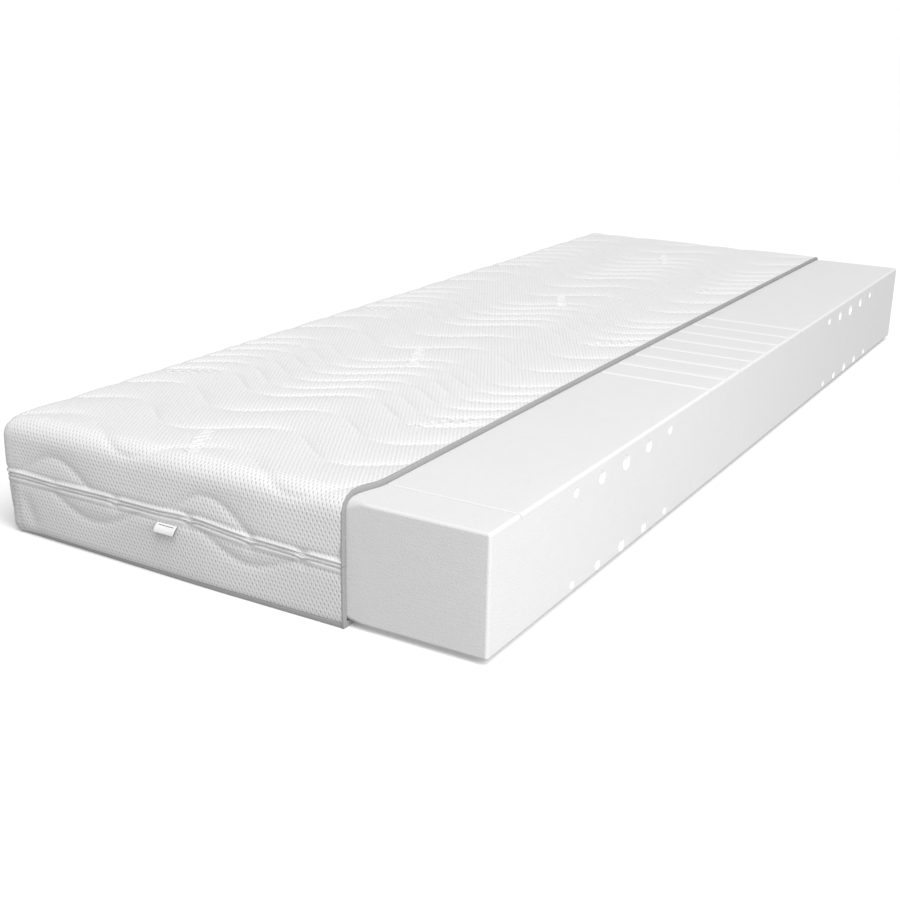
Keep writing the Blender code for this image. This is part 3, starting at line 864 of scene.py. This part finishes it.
def prepare_sub():
    """Columns of the wall that match every third row of the plan grid, with their starts in that thinner grid."""
    global COLSUB, STARTSUB
    nc = len(COLS)
    near = [i for i in range(len(KIND)) if KIND[i] == 0]
    side = [i for i in range(len(KIND)) if KIND[i] == 2]
    far = [i for i in range(len(KIND)) if KIND[i] == 4]
    kept = side[::3]
    nr3 = len(kept)
    cols, starts = [], []
    for i in near:
        cols.append(i); starts.append(int(START[i]))
    for i in range(len(KIND)):
        if KIND[i] == 1:
            cols.append(i); starts.append(0)
    for j, i in enumerate(kept):
        cols.append(i); starts.append(j * nc)
    for i in range(len(KIND)):
        if KIND[i] == 3:
            cols.append(i); starts.append((nr3 - 1) * nc)
    for c, i in enumerate(far):
        cols.append(i); starts.append((nr3 - 1) * nc + c)
    COLSUB, STARTSUB = np.array(cols), starts


prepare_sub()


# ------------------------------------------------------------------ bindings
def section_binding(name, z0, over, mat=GREY):
    """The grey binding on the display cut: the cover wall's section, 2 mm thick, from the zip over the top or under the foot."""
    # profile in (y, z) of the outer and inner faces, from the near end to the far end
    def line(depth):
        pts = []
        r = EDGE_R - depth
        yw = HALF - depth
        if over:
            for z in np.linspace(z0[0], TOP - EDGE_R, 16):
                pts.append((-(yw + wall_lean(z)), z, 0))
            for a in np.linspace(0, 90, 13)[1:]:
                pts.append((-(Y_FLAT + r * math.cos(math.radians(a))), TOP - EDGE_R + r * math.sin(math.radians(a)), 0))
            for y in np.linspace(-Y_FLAT, Y_FLAT, 240)[1:-1]:
                pts.append((y, TOP - depth, 1))
            for a in np.linspace(90, 0, 13)[:-1]:
                pts.append((Y_FLAT + r * math.cos(math.radians(a)), TOP - EDGE_R + r * math.sin(math.radians(a)), 0))
            for z in np.linspace(TOP - EDGE_R, z0[1], 16):
                pts.append((yw + wall_lean(z), z, 0))
        else:
            low = max(depth, 0.0)
            for z in np.linspace(z0[0], low, 16):
                pts.append((-(yw + wall_lean(z) * (1 if depth < 0.004 else 0)), z, 0))
            for y in np.linspace(-yw, yw, 60)[1:-1]:
                pts.append((y, low, 2))
            for z in np.linspace(low, z0[1], 16):
                pts.append((yw + wall_lean(z) * (1 if depth < 0.004 else 0), z, 0))
        return np.array(pts)

    outer, inner = line(-0.0005), line(0.0079)
    n = len(outer)
    verts = []
    # section across the thickness: rounded at both faces by a 0.4 mm chamfer
    for k in range(n):
        o, i = outer[k], inner[k]
        dy, dz = i[0] - o[0], i[1] - o[1]
        ln = max(math.hypot(dy, dz), 1e-9)
        for along, back in ((0.0005, 0.0), (0.0, 0.0005), (0.0, BIND_W), (ln, BIND_W), (ln, 0.0005), (ln - 0.0005, 0.0)):
            y = o[0] + dy / ln * along
            z = o[1] + dz / ln * along
            bulge = 0.0
            verts.append((cut_x(y) - back + bulge, y, z))
    s = 6
    faces = []
    for k in range(n - 1):
        for i in range(s):
            j = (i + 1) % s
            faces.append((k * s + i, k * s + j, (k + 1) * s + j, (k + 1) * s + i))
    faces.append(tuple(reversed(range(s))))
    faces.append(tuple((n - 1) * s + i for i in range(s)))
    ob = build(name, verts, faces, mat)
    recalc(ob)
    return ob


def base_strip():
    """Grey binding round the foot: a soft rolled strip that thins towards the closed corner."""
    idx = np.arange(0, len(FOOT), 2)
    if idx[-1] != len(FOOT) - 1:
        idx = np.append(idx, len(FOOT) - 1)
    prof = np.array([(-0.0034, 0.0), (-0.0012, 0.0), (-0.0003, 0.05), (0.0, 0.17), (0.0, 0.83), (-0.0003, 0.95),
                     (-0.0012, 1.0), (-0.0034, 1.0)])
    n, m = len(prof), len(idx)
    verts = np.zeros((m, n, 3))
    for j, i in enumerate(idx):
        z = prof[:, 1] * float(strip_height(RUN[i]))
        out = EDGE_R + prof[:, 0] + wall_lean(z, CLOSED[i]) - 0.0003
        verts[j, :, 0] = FOOT[i, 0] + NORMAL[i, 0] * out
        verts[j, :, 1] = FOOT[i, 1] + NORMAL[i, 1] * out
        verts[j, :, 2] = z
    faces = []
    for j in range(m - 1):
        for i in range(n):
            k = (i + 1) % n
            faces.append((j * n + i, (j + 1) * n + i, (j + 1) * n + k, j * n + k))
    faces.append(tuple(range(n)))
    faces.append(tuple((m - 1) * n + i for i in reversed(range(n))))
    ob = build("base_binding_cloth", verts.reshape(-1, 3), faces, BASE_GREY)
    recalc(ob)
    return ob


def base_sheet(name, mat, z0, z1, wrinkle, inset=0.0045):
    """One layer of the base panel: a sheet that fills the foot's outline, flat where it rests."""
    total = RUN[-1]
    rim = FOOT + NORMAL * (EDGE_R - inset + wall_lean(0.002, CLOSED))[:, None]
    near = [i for i in range(len(KIND)) if KIND[i] == 0][::4] + [i for i in range(len(KIND)) if KIND[i] == 1]
    lines = [(rim[i][0], rim[i][1]) for i in near]
    side = rim[np.argmax(KIND == 2)]
    lines.append((side[0], side[1]))
    ny = 110
    verts_t, verts_b = [], []
    for x, y_near in lines:
        for iy in range(ny + 1):
            y = y_near * (1 - 2 * iy / ny)
            xx = x if x < 0.15 else min(cut_x(y) - BACK, x + CUT_SKEW * (y - y_near))
            lump = noise.noise(Vector((xx * 14, y * 14, z0 * 500))) * wrinkle
            verts_t.append((xx, y, z1 + min(lump, 0)))
            verts_b.append((xx, y, z0))
    faces = [tuple(f) for f in grid_faces(len(lines), ny + 1)]
    verts, all_faces = sheet_mesh(np.array(verts_t), np.array(verts_b), faces)
    ob = build(name, verts, all_faces, mat)
    recalc(ob)
    return ob


# ------------------------------------------------------------------ foam
GROOVES = [-CORE_Y + 0.7225 + 0.070 * i for i in range(8)]
SLIT = -CORE_Y + 0.075
BORES = []
for y0 in (0.230, 1.415):
    for i, r in enumerate((0.0055, 0.0080, 0.0100, 0.0080, 0.0055)):
        y = -CORE_Y + y0 + i * 0.081
        BORES.append((y, CORE_Z1 - (0.0200, 0.0235, 0.0255, 0.0240, 0.0215)[i], r))
        BORES.append((y, CORE_Z0 + 0.0135, r * 0.8))


def squeeze(me):
    """Lean the covered walls in with the cover that holds them."""
    co = np.empty(len(me.vertices) * 3)
    me.vertices.foreach_get("co", co)
    co = co.reshape(-1, 3)
    x, y, z = co[:, 0].copy(), co[:, 1].copy(), co[:, 2]
    lean = 0.0046 * np.clip((0.150 - z) / 0.150, 0, 1) ** 1.2
    t = np.clip((0.035 - x) / 0.42, 0, 1)
    c = t * t * (3 - 2 * t)
    co[:, 0] = x + lean * np.clip(1 - (x - CORE_X0) / 0.05, 0, 1)
    co[:, 1] = y - np.sign(y) * lean * c * np.clip(1 - (CORE_Y - np.abs(y)) / 0.05, 0, 1)
    me.vertices.foreach_set("co", co.ravel())
    me.update()


def foam_block(name, mat, z0, z1, crown_top, crown_foot):
    """One foam layer: soft edges, its grooves and bores cut right across."""
    bm = bmesh.new()
    covered = 0.020
    bare = 0.0045
    # cross-sections (y, z) along x: full rounded radius under the cover, nearly square where bare
    xs = [CORE_X0 + 0.0, CORE_X0 + 0.0008, CORE_X0 + 0.003, CORE_X0 + 0.008, CORE_X0 + 0.014, CORE_X0 + 0.020]
    xs += list(np.linspace(CORE_X0 + 0.06, CUT_MID - 0.03, 8))
    xs += [CUT_MID - 0.016, CUT_MID + 0.016, CUT_MID + 0.03, 0.28, 0.33, 0.37]
    xs += [RIGHT - 0.0045, RIGHT - 0.0022, RIGHT - 0.0007, RIGHT]
    seg = 5
    sections = []
    for x in xs:
        left_over = max(CORE_X0 + covered - x, 0)
        pull = covered - math.sqrt(max(covered ** 2 - left_over ** 2, 0)) if left_over > 0 else 0.0
        right_over = max(x - (RIGHT - bare), 0)
        pull_r = bare - math.sqrt(max(bare ** 2 - right_over ** 2, 0)) if right_over > 0 else 0.0
        r = covered if x < CUT_MID - 0.001 else bare
        foot_over = max(CORE_X0 + 0.012 - x, 0)
        pull_f = 0.012 - math.sqrt(max(0.012 ** 2 - foot_over ** 2, 0)) if foot_over > 0 else 0.0
        sections.append((x, pull, pull_r, r, pull_f))
    rings = []
    ny = 96
    for x, pull, pull_r, r, pull_f in sections:
        inset = max(pull, pull_r)
        yw = CORE_Y - inset
        ring = []
        top = z1 - (inset if crown_top else 0)
        low = z0 + (max(pull_r, pull_f) if crown_foot else 0)
        rt = max(r - inset, 0.0004) if crown_top else 0.00003
        rf = max((0.012 - pull_f) if x < CUT_MID - 0.001 else (bare - pull_r), 0.0004) if crown_foot else 0.00003
        skew = 0.0
        # foot, from the near end to the far end, then up and back over the top
        for a in np.linspace(270, 360, seg):
            ring.append((yw - rf + rf * math.cos(math.radians(a)), low + rf + rf * math.sin(math.radians(a))))
        for a in np.linspace(0, 90, seg):
            ring.append((yw - rt + rt * math.cos(math.radians(a)), top - rt + rt * math.sin(math.radians(a))))
        for y in np.linspace(yw - rt, -(yw - rt), ny)[1:-1]:
            ring.append((y, top))
        for a in np.linspace(90, 180, seg):
            ring.append((-(yw - rt) + rt * math.cos(math.radians(a)), top - rt + rt * math.sin(math.radians(a))))
        for a in np.linspace(180, 270, seg):
            ring.append((-(yw - rf) + rf * math.cos(math.radians(a)), low + rf + rf * math.sin(math.radians(a))))
        rings.append([bm.verts.new((x + (CUT_SKEW * yz[0] if abs(x - CUT_MID) < 0.04 else 0), yz[0], yz[1])) for yz in ring])
    n = len(rings[0])
    for a, b in zip(rings, rings[1:]):
        for i in range(n):
            j = (i + 1) % n
            bm.faces.new((a[i], a[j], b[j], b[i]))
    bm.faces.new(rings[0])
    bm.faces.new(list(reversed(rings[-1])))
    bmesh.ops.recalc_face_normals(bm, faces=bm.faces)
    me = bpy.data.meshes.new(name)
    bm.to_mesh(me)
    bm.free()
    for m in (mat, GROOVE_PAINTED_HIGHLIGHT, BORE_PAINTED_GLOW):
        me.materials.append(m)
    ob = bpy.data.objects.new(name, me)
    bpy.context.scene.collection.objects.link(ob)
    # hollows: flared grooves, a thin slit, and bores with a small flare at the bare face
    cut = bmesh.new()

    def loft(stations, index):
        """A closed tool through (x, points) stations, with one material index."""
        loops = [[cut.verts.new((x, y, z)) for y, z in points] for x, points in stations]
        n = len(loops[0])
        made = []
        for a, b in zip(loops, loops[1:]):
            for i in range(n):
                j = (i + 1) % n
                made.append(cut.faces.new((a[i], a[j], b[j], b[i])))
        made.append(cut.faces.new(list(reversed(loops[0]))))
        made.append(cut.faces.new(loops[-1]))
        for f in made:
            f.material_index = index

    def prism(points, x0, x1):
        # the grooves and slit take the lighter foam, a painted highlight
        loft(((x0, points), (x1, points)), 1)

    if crown_top:
        for y in GROOVES:
            g = [(y + 0.0056, z1 + 0.004), (y + 0.0056, z1 + 0.0001), (y + 0.0032, z1 - 0.0007), (y + 0.0011, z1 - 0.0013),
                 (y + 0.0006, z1 - 0.0078), (y, z1 - 0.0082), (y - 0.0006, z1 - 0.0078), (y - 0.0009, z1 - 0.0013),
                 (y - 0.0024, z1 - 0.0003), (y - 0.0030, z1 + 0.0001), (y - 0.0030, z1 + 0.004)]
            prism(g, -0.6, 0.6)
        y = SLIT
        prism([(y + 0.0022, z1 + 0.004), (y + 0.0022, z1 + 0.0001), (y + 0.0010, z1 - 0.0010), (y + 0.0006, z1 - 0.0068),
               (y - 0.0006, z1 - 0.0068), (y - 0.0010, z1 - 0.0010), (y - 0.0022, z1 + 0.0001), (y - 0.0022, z1 + 0.004)], -0.6, 0.6)
    for y, z, r in BORES:
        if not z0 < z < z1:
            continue
        def circle(rad):
            return [(y + rad * math.cos(t), z + rad * math.sin(t)) for t in np.linspace(0, 2 * math.pi, 25)[:-1]]
        # the bore walls take the lighter, glowing foam: painted light
        loft(((-0.6, circle(r)), (RIGHT - 0.0040, circle(r)), (RIGHT - 0.0016, circle(r + 0.0007)),
              (RIGHT + 0.0004, circle(r + 0.0020)), (0.6, circle(r + 0.0020))), 2)
    bmesh.ops.recalc_face_normals(cut, faces=cut.faces)
    cm = bpy.data.meshes.new(name + "_hollows")
    cut.to_mesh(cm)
    cut.free()
    for m in (mat, GROOVE_PAINTED_HIGHLIGHT, BORE_PAINTED_GLOW):
        cm.materials.append(m)
    co = bpy.data.objects.new(name + "_hollows", cm)
    bpy.context.scene.collection.objects.link(co)
    mod = ob.modifiers.new("hollows", "BOOLEAN")
    mod.operation = "DIFFERENCE"
    mod.object = co
    dg = bpy.context.evaluated_depsgraph_get()
    done = bpy.data.meshes.new_from_object(ob.evaluated_get(dg))
    ob.modifiers.clear()
    old = ob.data
    ob.data = done
    bpy.data.meshes.remove(old)
    bpy.data.objects.remove(co, do_unlink=True)
    done.name = name
    done.polygons.foreach_set("use_smooth", [True] * len(done.polygons))
    done.set_sharp_from_angle(angle=math.radians(32))
    squeeze(done)
    even = ob.modifiers.new("even_shading", "WEIGHTED_NORMAL")
    even.keep_sharp = True
    even.weight = 100
    return ob


# ------------------------------------------------------------------ label
def label():
    """A folded satin tab, both ends sewn in below the zip, standing off the fabric and open at its sides, with a row of stitches."""
    lo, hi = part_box("care_label")
    x0, x1 = lo[0], hi[0]
    lift = math.radians(50)
    root = Vector((0, -HALF - 0.0007, LABEL_Z))
    full, end_r, half_t = 0.0145, 0.00055, 0.00014

    def gap(s):
        return 0.00024 + 0.00022 * math.sin(math.pi * min(s / full, 1)) ** 1.2 + 0.00012 * s / full

    line = []
    reach = full - end_r
    for i in range(15):
        sd = reach * i / 14
        line.append((sd, gap(sd)))
    for i in range(1, 6):
        a = math.pi * i / 6
        line.append((reach + math.sin(a) * gap(reach) , gap(reach) * math.cos(a)))
    for i in range(15):
        sd = reach * (14 - i) / 14
        line.append((sd, -gap(sd)))
    n_wid = 16
    outer, inner = [], []
    for i, (sd, off) in enumerate(line):
        before, after = line[max(i - 1, 0)], line[min(i + 1, len(line) - 1)]
        dx, dy = after[0] - before[0], after[1] - before[1]
        ln = math.hypot(dx, dy) or 1.0
        nx, ny = -dy / ln, dx / ln
        for j in range(n_wid + 1):
            w = j / n_wid
            t = sd / full
            a = lift + math.radians(8) * (1 - t) - math.radians(12) * t * t
            curl = 0.0004 * (2 * w - 1) ** 2 * t + 0.0002 * math.sin(w * 6.0) * t
            along = Vector((0, -math.sin(a), -math.cos(a)))
            out = Vector((0, -math.cos(a), math.sin(a)))
            x = x0 + (x1 - x0) * w
            for keep, sign in ((outer, 1), (inner, -1)):
                p = root + along * (sd + sign * nx * half_t) + out * (off + sign * ny * half_t + curl) + Vector((x, 0, 0))
                keep.append(p)
    faces = [tuple(f) for f in grid_faces(len(line), n_wid + 1)]
    verts, all_faces = sheet_mesh(np.array(outer), np.array(inner), faces)
    ob = build("care_label_tab", verts, all_faces, SATIN)
    recalc(ob)
    # stitches: a row of short threads near the sewn edge
    bm = bmesh.new()
    sd = 0.0034
    t = sd / full
    a = lift + math.radians(8) * (1 - t)
    along = Vector((0, -math.sin(a), -math.cos(a)))
    out = Vector((0, -math.cos(a), math.sin(a)))
    count = 12
    for i in range(count):
        w = 0.13 + 0.74 * (i + 0.5) / count
        curl = 0.0004 * (2 * w - 1) ** 2 * t + 0.0002 * math.sin(w * 6.0) * t
        at = root + along * sd + out * (gap(sd) + half_t + curl + 0.00008) + Vector((x0 + (x1 - x0) * w, 0, 0))
        bmesh.ops.create_icosphere(bm, subdivisions=2, radius=1.0, matrix=Matrix.Translation(at) @ Matrix.Diagonal((0.00120, 0.00055, 0.00055, 1)))
    # a row of dark thread beads along one side edge: painted shade for the shadow at the label's edge
    for i in range(22):
        sd = full * (0.06 + 0.90 * i / 21)
        t = sd / full
        a = lift + math.radians(8) * (1 - t) - math.radians(12) * t * t
        along = Vector((0, -math.sin(a), -math.cos(a)))
        out = Vector((0, -math.cos(a), math.sin(a)))
        at = root + along * sd + out * (0.0004 * t + 0.0001) + Vector((x1 + 0.0001, 0, 0))
        turn = Vector((1, 0, 0)).rotation_difference(along).to_matrix().to_4x4()
        bmesh.ops.create_icosphere(bm, subdivisions=1, radius=1.0, matrix=Matrix.Translation(at) @ turn @ Matrix.Diagonal((0.00075, 0.00060, 0.00060, 1)))
    me = bpy.data.meshes.new("label_stitches_and_painted_edge_shade")
    bm.to_mesh(me); bm.free()
    me.materials.append(THREAD_AND_EDGE_SHADE)
    me.polygons.foreach_set("use_smooth", [True] * len(me.polygons))
    st = bpy.data.objects.new("label_stitches_and_painted_edge_shade", me)
    bpy.context.scene.collection.objects.link(st)
    return ob, st


# ------------------------------------------------------------------ make and attach
up = upper_knit()
recalc(up)
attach(up, "cover"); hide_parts("upper_cover_knit")
low = lower_knit()
recalc(low)
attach(low, "cover"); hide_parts("lower_cover_knit")

for ob, node in zip_parts():
    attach(ob, "cover"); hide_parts(node)
    if "tape" in node:
        recalc(ob)

wad = shell("upper_wadding_fleece", WADDING, 0.0041, 0.0064, ZIP_Z + 0.0145, True)
recalc(wad)
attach(wad, "cover"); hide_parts("upper_cover_wadding")
lin = shell("upper_lining_cloth", LINING, 0.0069, 0.0077, ZIP_Z + 0.0015, True)
recalc(lin)
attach(lin, "cover"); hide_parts("upper_cover_lining")
wad2 = shell("lower_wadding_fleece", WADDING, 0.0041, 0.0064, ZIP_Z - 0.0150, False, z_low=BASE_T + 0.0008)
recalc(wad2)
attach(wad2, "cover"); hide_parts("lower_cover_wadding")
lin2 = shell("lower_lining_cloth", LINING, 0.0069, 0.0077, ZIP_Z - 0.0015, False, z_low=BASE_T + 0.0003)
recalc(lin2)
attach(lin2, "cover"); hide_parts("lower_cover_lining")

zc = (zip_line(0.0), zip_line(RUN[-1]))
b1 = section_binding("upper_cut_binding_cloth", (float(zc[0]) + 0.0003, float(zc[1]) + 0.0003), True)
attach(b1, "cover"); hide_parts("upper_cut_edge_binding")
b2 = section_binding("lower_cut_binding_cloth", (float(zc[0]) - 0.0003, float(zc[1]) - 0.0003), False)
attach(b2, "cover"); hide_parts("lower_cut_edge_binding")
b3 = base_strip()
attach(b3, "cover"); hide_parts("base_edge_binding")

p1 = base_sheet("base_fabric_cloth", BASE_GREY, 0.0, 0.0024, 0.0002)
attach(p1, "cover"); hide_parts("base_panel_fabric")
p2 = base_sheet("base_wadding_fleece", WADDING, 0.0028, 0.0066, 0.0012)
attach(p2, "cover"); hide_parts("base_panel_wadding")
p3 = base_sheet("base_lining_cloth", LINING, 0.0069, 0.0077, 0.0)
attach(p3, "cover"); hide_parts("base_panel_lining")

mem = foam_block("memory_foam_block", MEMORY, SEAM_Z + 0.00002, CORE_Z1, True, False)
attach(mem, "core"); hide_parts("memory_foam_layer")
sup = foam_block("support_foam_block", SUPPORT, CORE_Z0, SEAM_Z - 0.00002, False, True)
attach(sup, "core"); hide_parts("support_foam_core")

tab, stitches = label()
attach(tab, "label"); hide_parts("care_label")
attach(stitches, "label")

for node in ("zip_slider_body", "zip_pull_tab"):
    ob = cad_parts[node]
    ob = ob if hasattr(ob, "data") else bpy.data.objects[node]
    ob.data.materials.clear()
    ob.data.materials.append(METAL)

rings = motifs()
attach(rings, "cover")


# ------------------------------------------------------------------ camera, at the reference view
az, el, roll = math.radians(30.32), math.radians(18.64), math.radians(1.11)
back = Vector((math.sin(az) * math.cos(el), -math.cos(az) * math.cos(el), math.sin(el)))
right = Vector((math.cos(az), math.sin(az), 0))
upv = back.cross(right)
r2 = right * math.cos(roll) + upv * math.sin(roll)
u2 = -right * math.sin(roll) + upv * math.cos(roll)
cam_data = bpy.data.cameras.new("reference_camera")
cam_data.sensor_width = 36.0
cam_data.lens = 1328.2 / 900 * 36.0
cam_data.clip_end = 400.0
cam = bpy.data.objects.new("reference_camera", cam_data)
cam.matrix_world = Matrix(((r2.x, u2.x, back.x, 1.072), (r2.y, u2.y, back.y, -2.237), (r2.z, u2.z, back.z, 0.750), (0, 0, 0, 1)))
bpy.context.scene.collection.objects.link(cam)
bpy.context.scene.camera = cam

# ------------------------------------------------------------------ floor and studio light
floor_mat = Nodes("studio_floor")
fn = floor_mat.noise(floor_mat.add("ShaderNodeTexCoord").outputs["Object"], 0.8, 2.0, 0.5)
floor_mat.finish(floor_mat.ramp(fn, [(0.0, grey(0.965)), (1.0, grey(0.975))]), None, 0.95)
bm = bmesh.new()
bmesh.ops.create_grid(bm, x_segments=60, y_segments=60, size=60.0)
for v in bm.verts:
    away = math.hypot(v.co.x, v.co.y)
    v.co.z = -0.0002 + 0.07 * max(away - 25.0, 0)       # the backdrop rises gently, far off
fm = bpy.data.meshes.new("studio_floor")
bm.to_mesh(fm); bm.free()
fm.materials.append(floor_mat.mat)
fm.polygons.foreach_set("use_smooth", [True] * len(fm.polygons))
floor = bpy.data.objects.new("studio_floor", fm)
floor.visible_diffuse = False                            # the pale floor doesn't flood the undersides with light
bpy.context.scene.collection.objects.link(floor)

world = bpy.data.worlds.new("soft_studio")
world.use_nodes = True
world.node_tree.nodes["Background"].inputs["Color"].default_value = (1, 1, 1, 1)
world.node_tree.nodes["Background"].inputs["Strength"].default_value = WORLD
bpy.context.scene.world = world


def lamp(kind, name, loc, target, power, size):
    d = bpy.data.lights.new(name, kind)
    d.energy = power
    if kind == "SUN":
        d.angle = size
    else:
        d.shape = "RECTANGLE"
        d.size = d.size_y = size
    o = bpy.data.objects.new(name, d)
    o.location = loc
    o.rotation_euler = (Vector(target) - Vector(loc)).to_track_quat("-Z", "Y").to_euler()
    bpy.context.scene.collection.objects.link(o)
    return o


lamp("SUN", "broad_softbox", SUN_DIR, (0, 0, 0), SUN, math.radians(40))
lamp("AREA", "right_key", (2.35, -1.75, 0.95), (0.3, -0.75, 0.08), KEY, 1.3)

bpy.context.scene.view_settings.view_transform = "Standard"
bpy.context.scene.view_settings.look = "None"
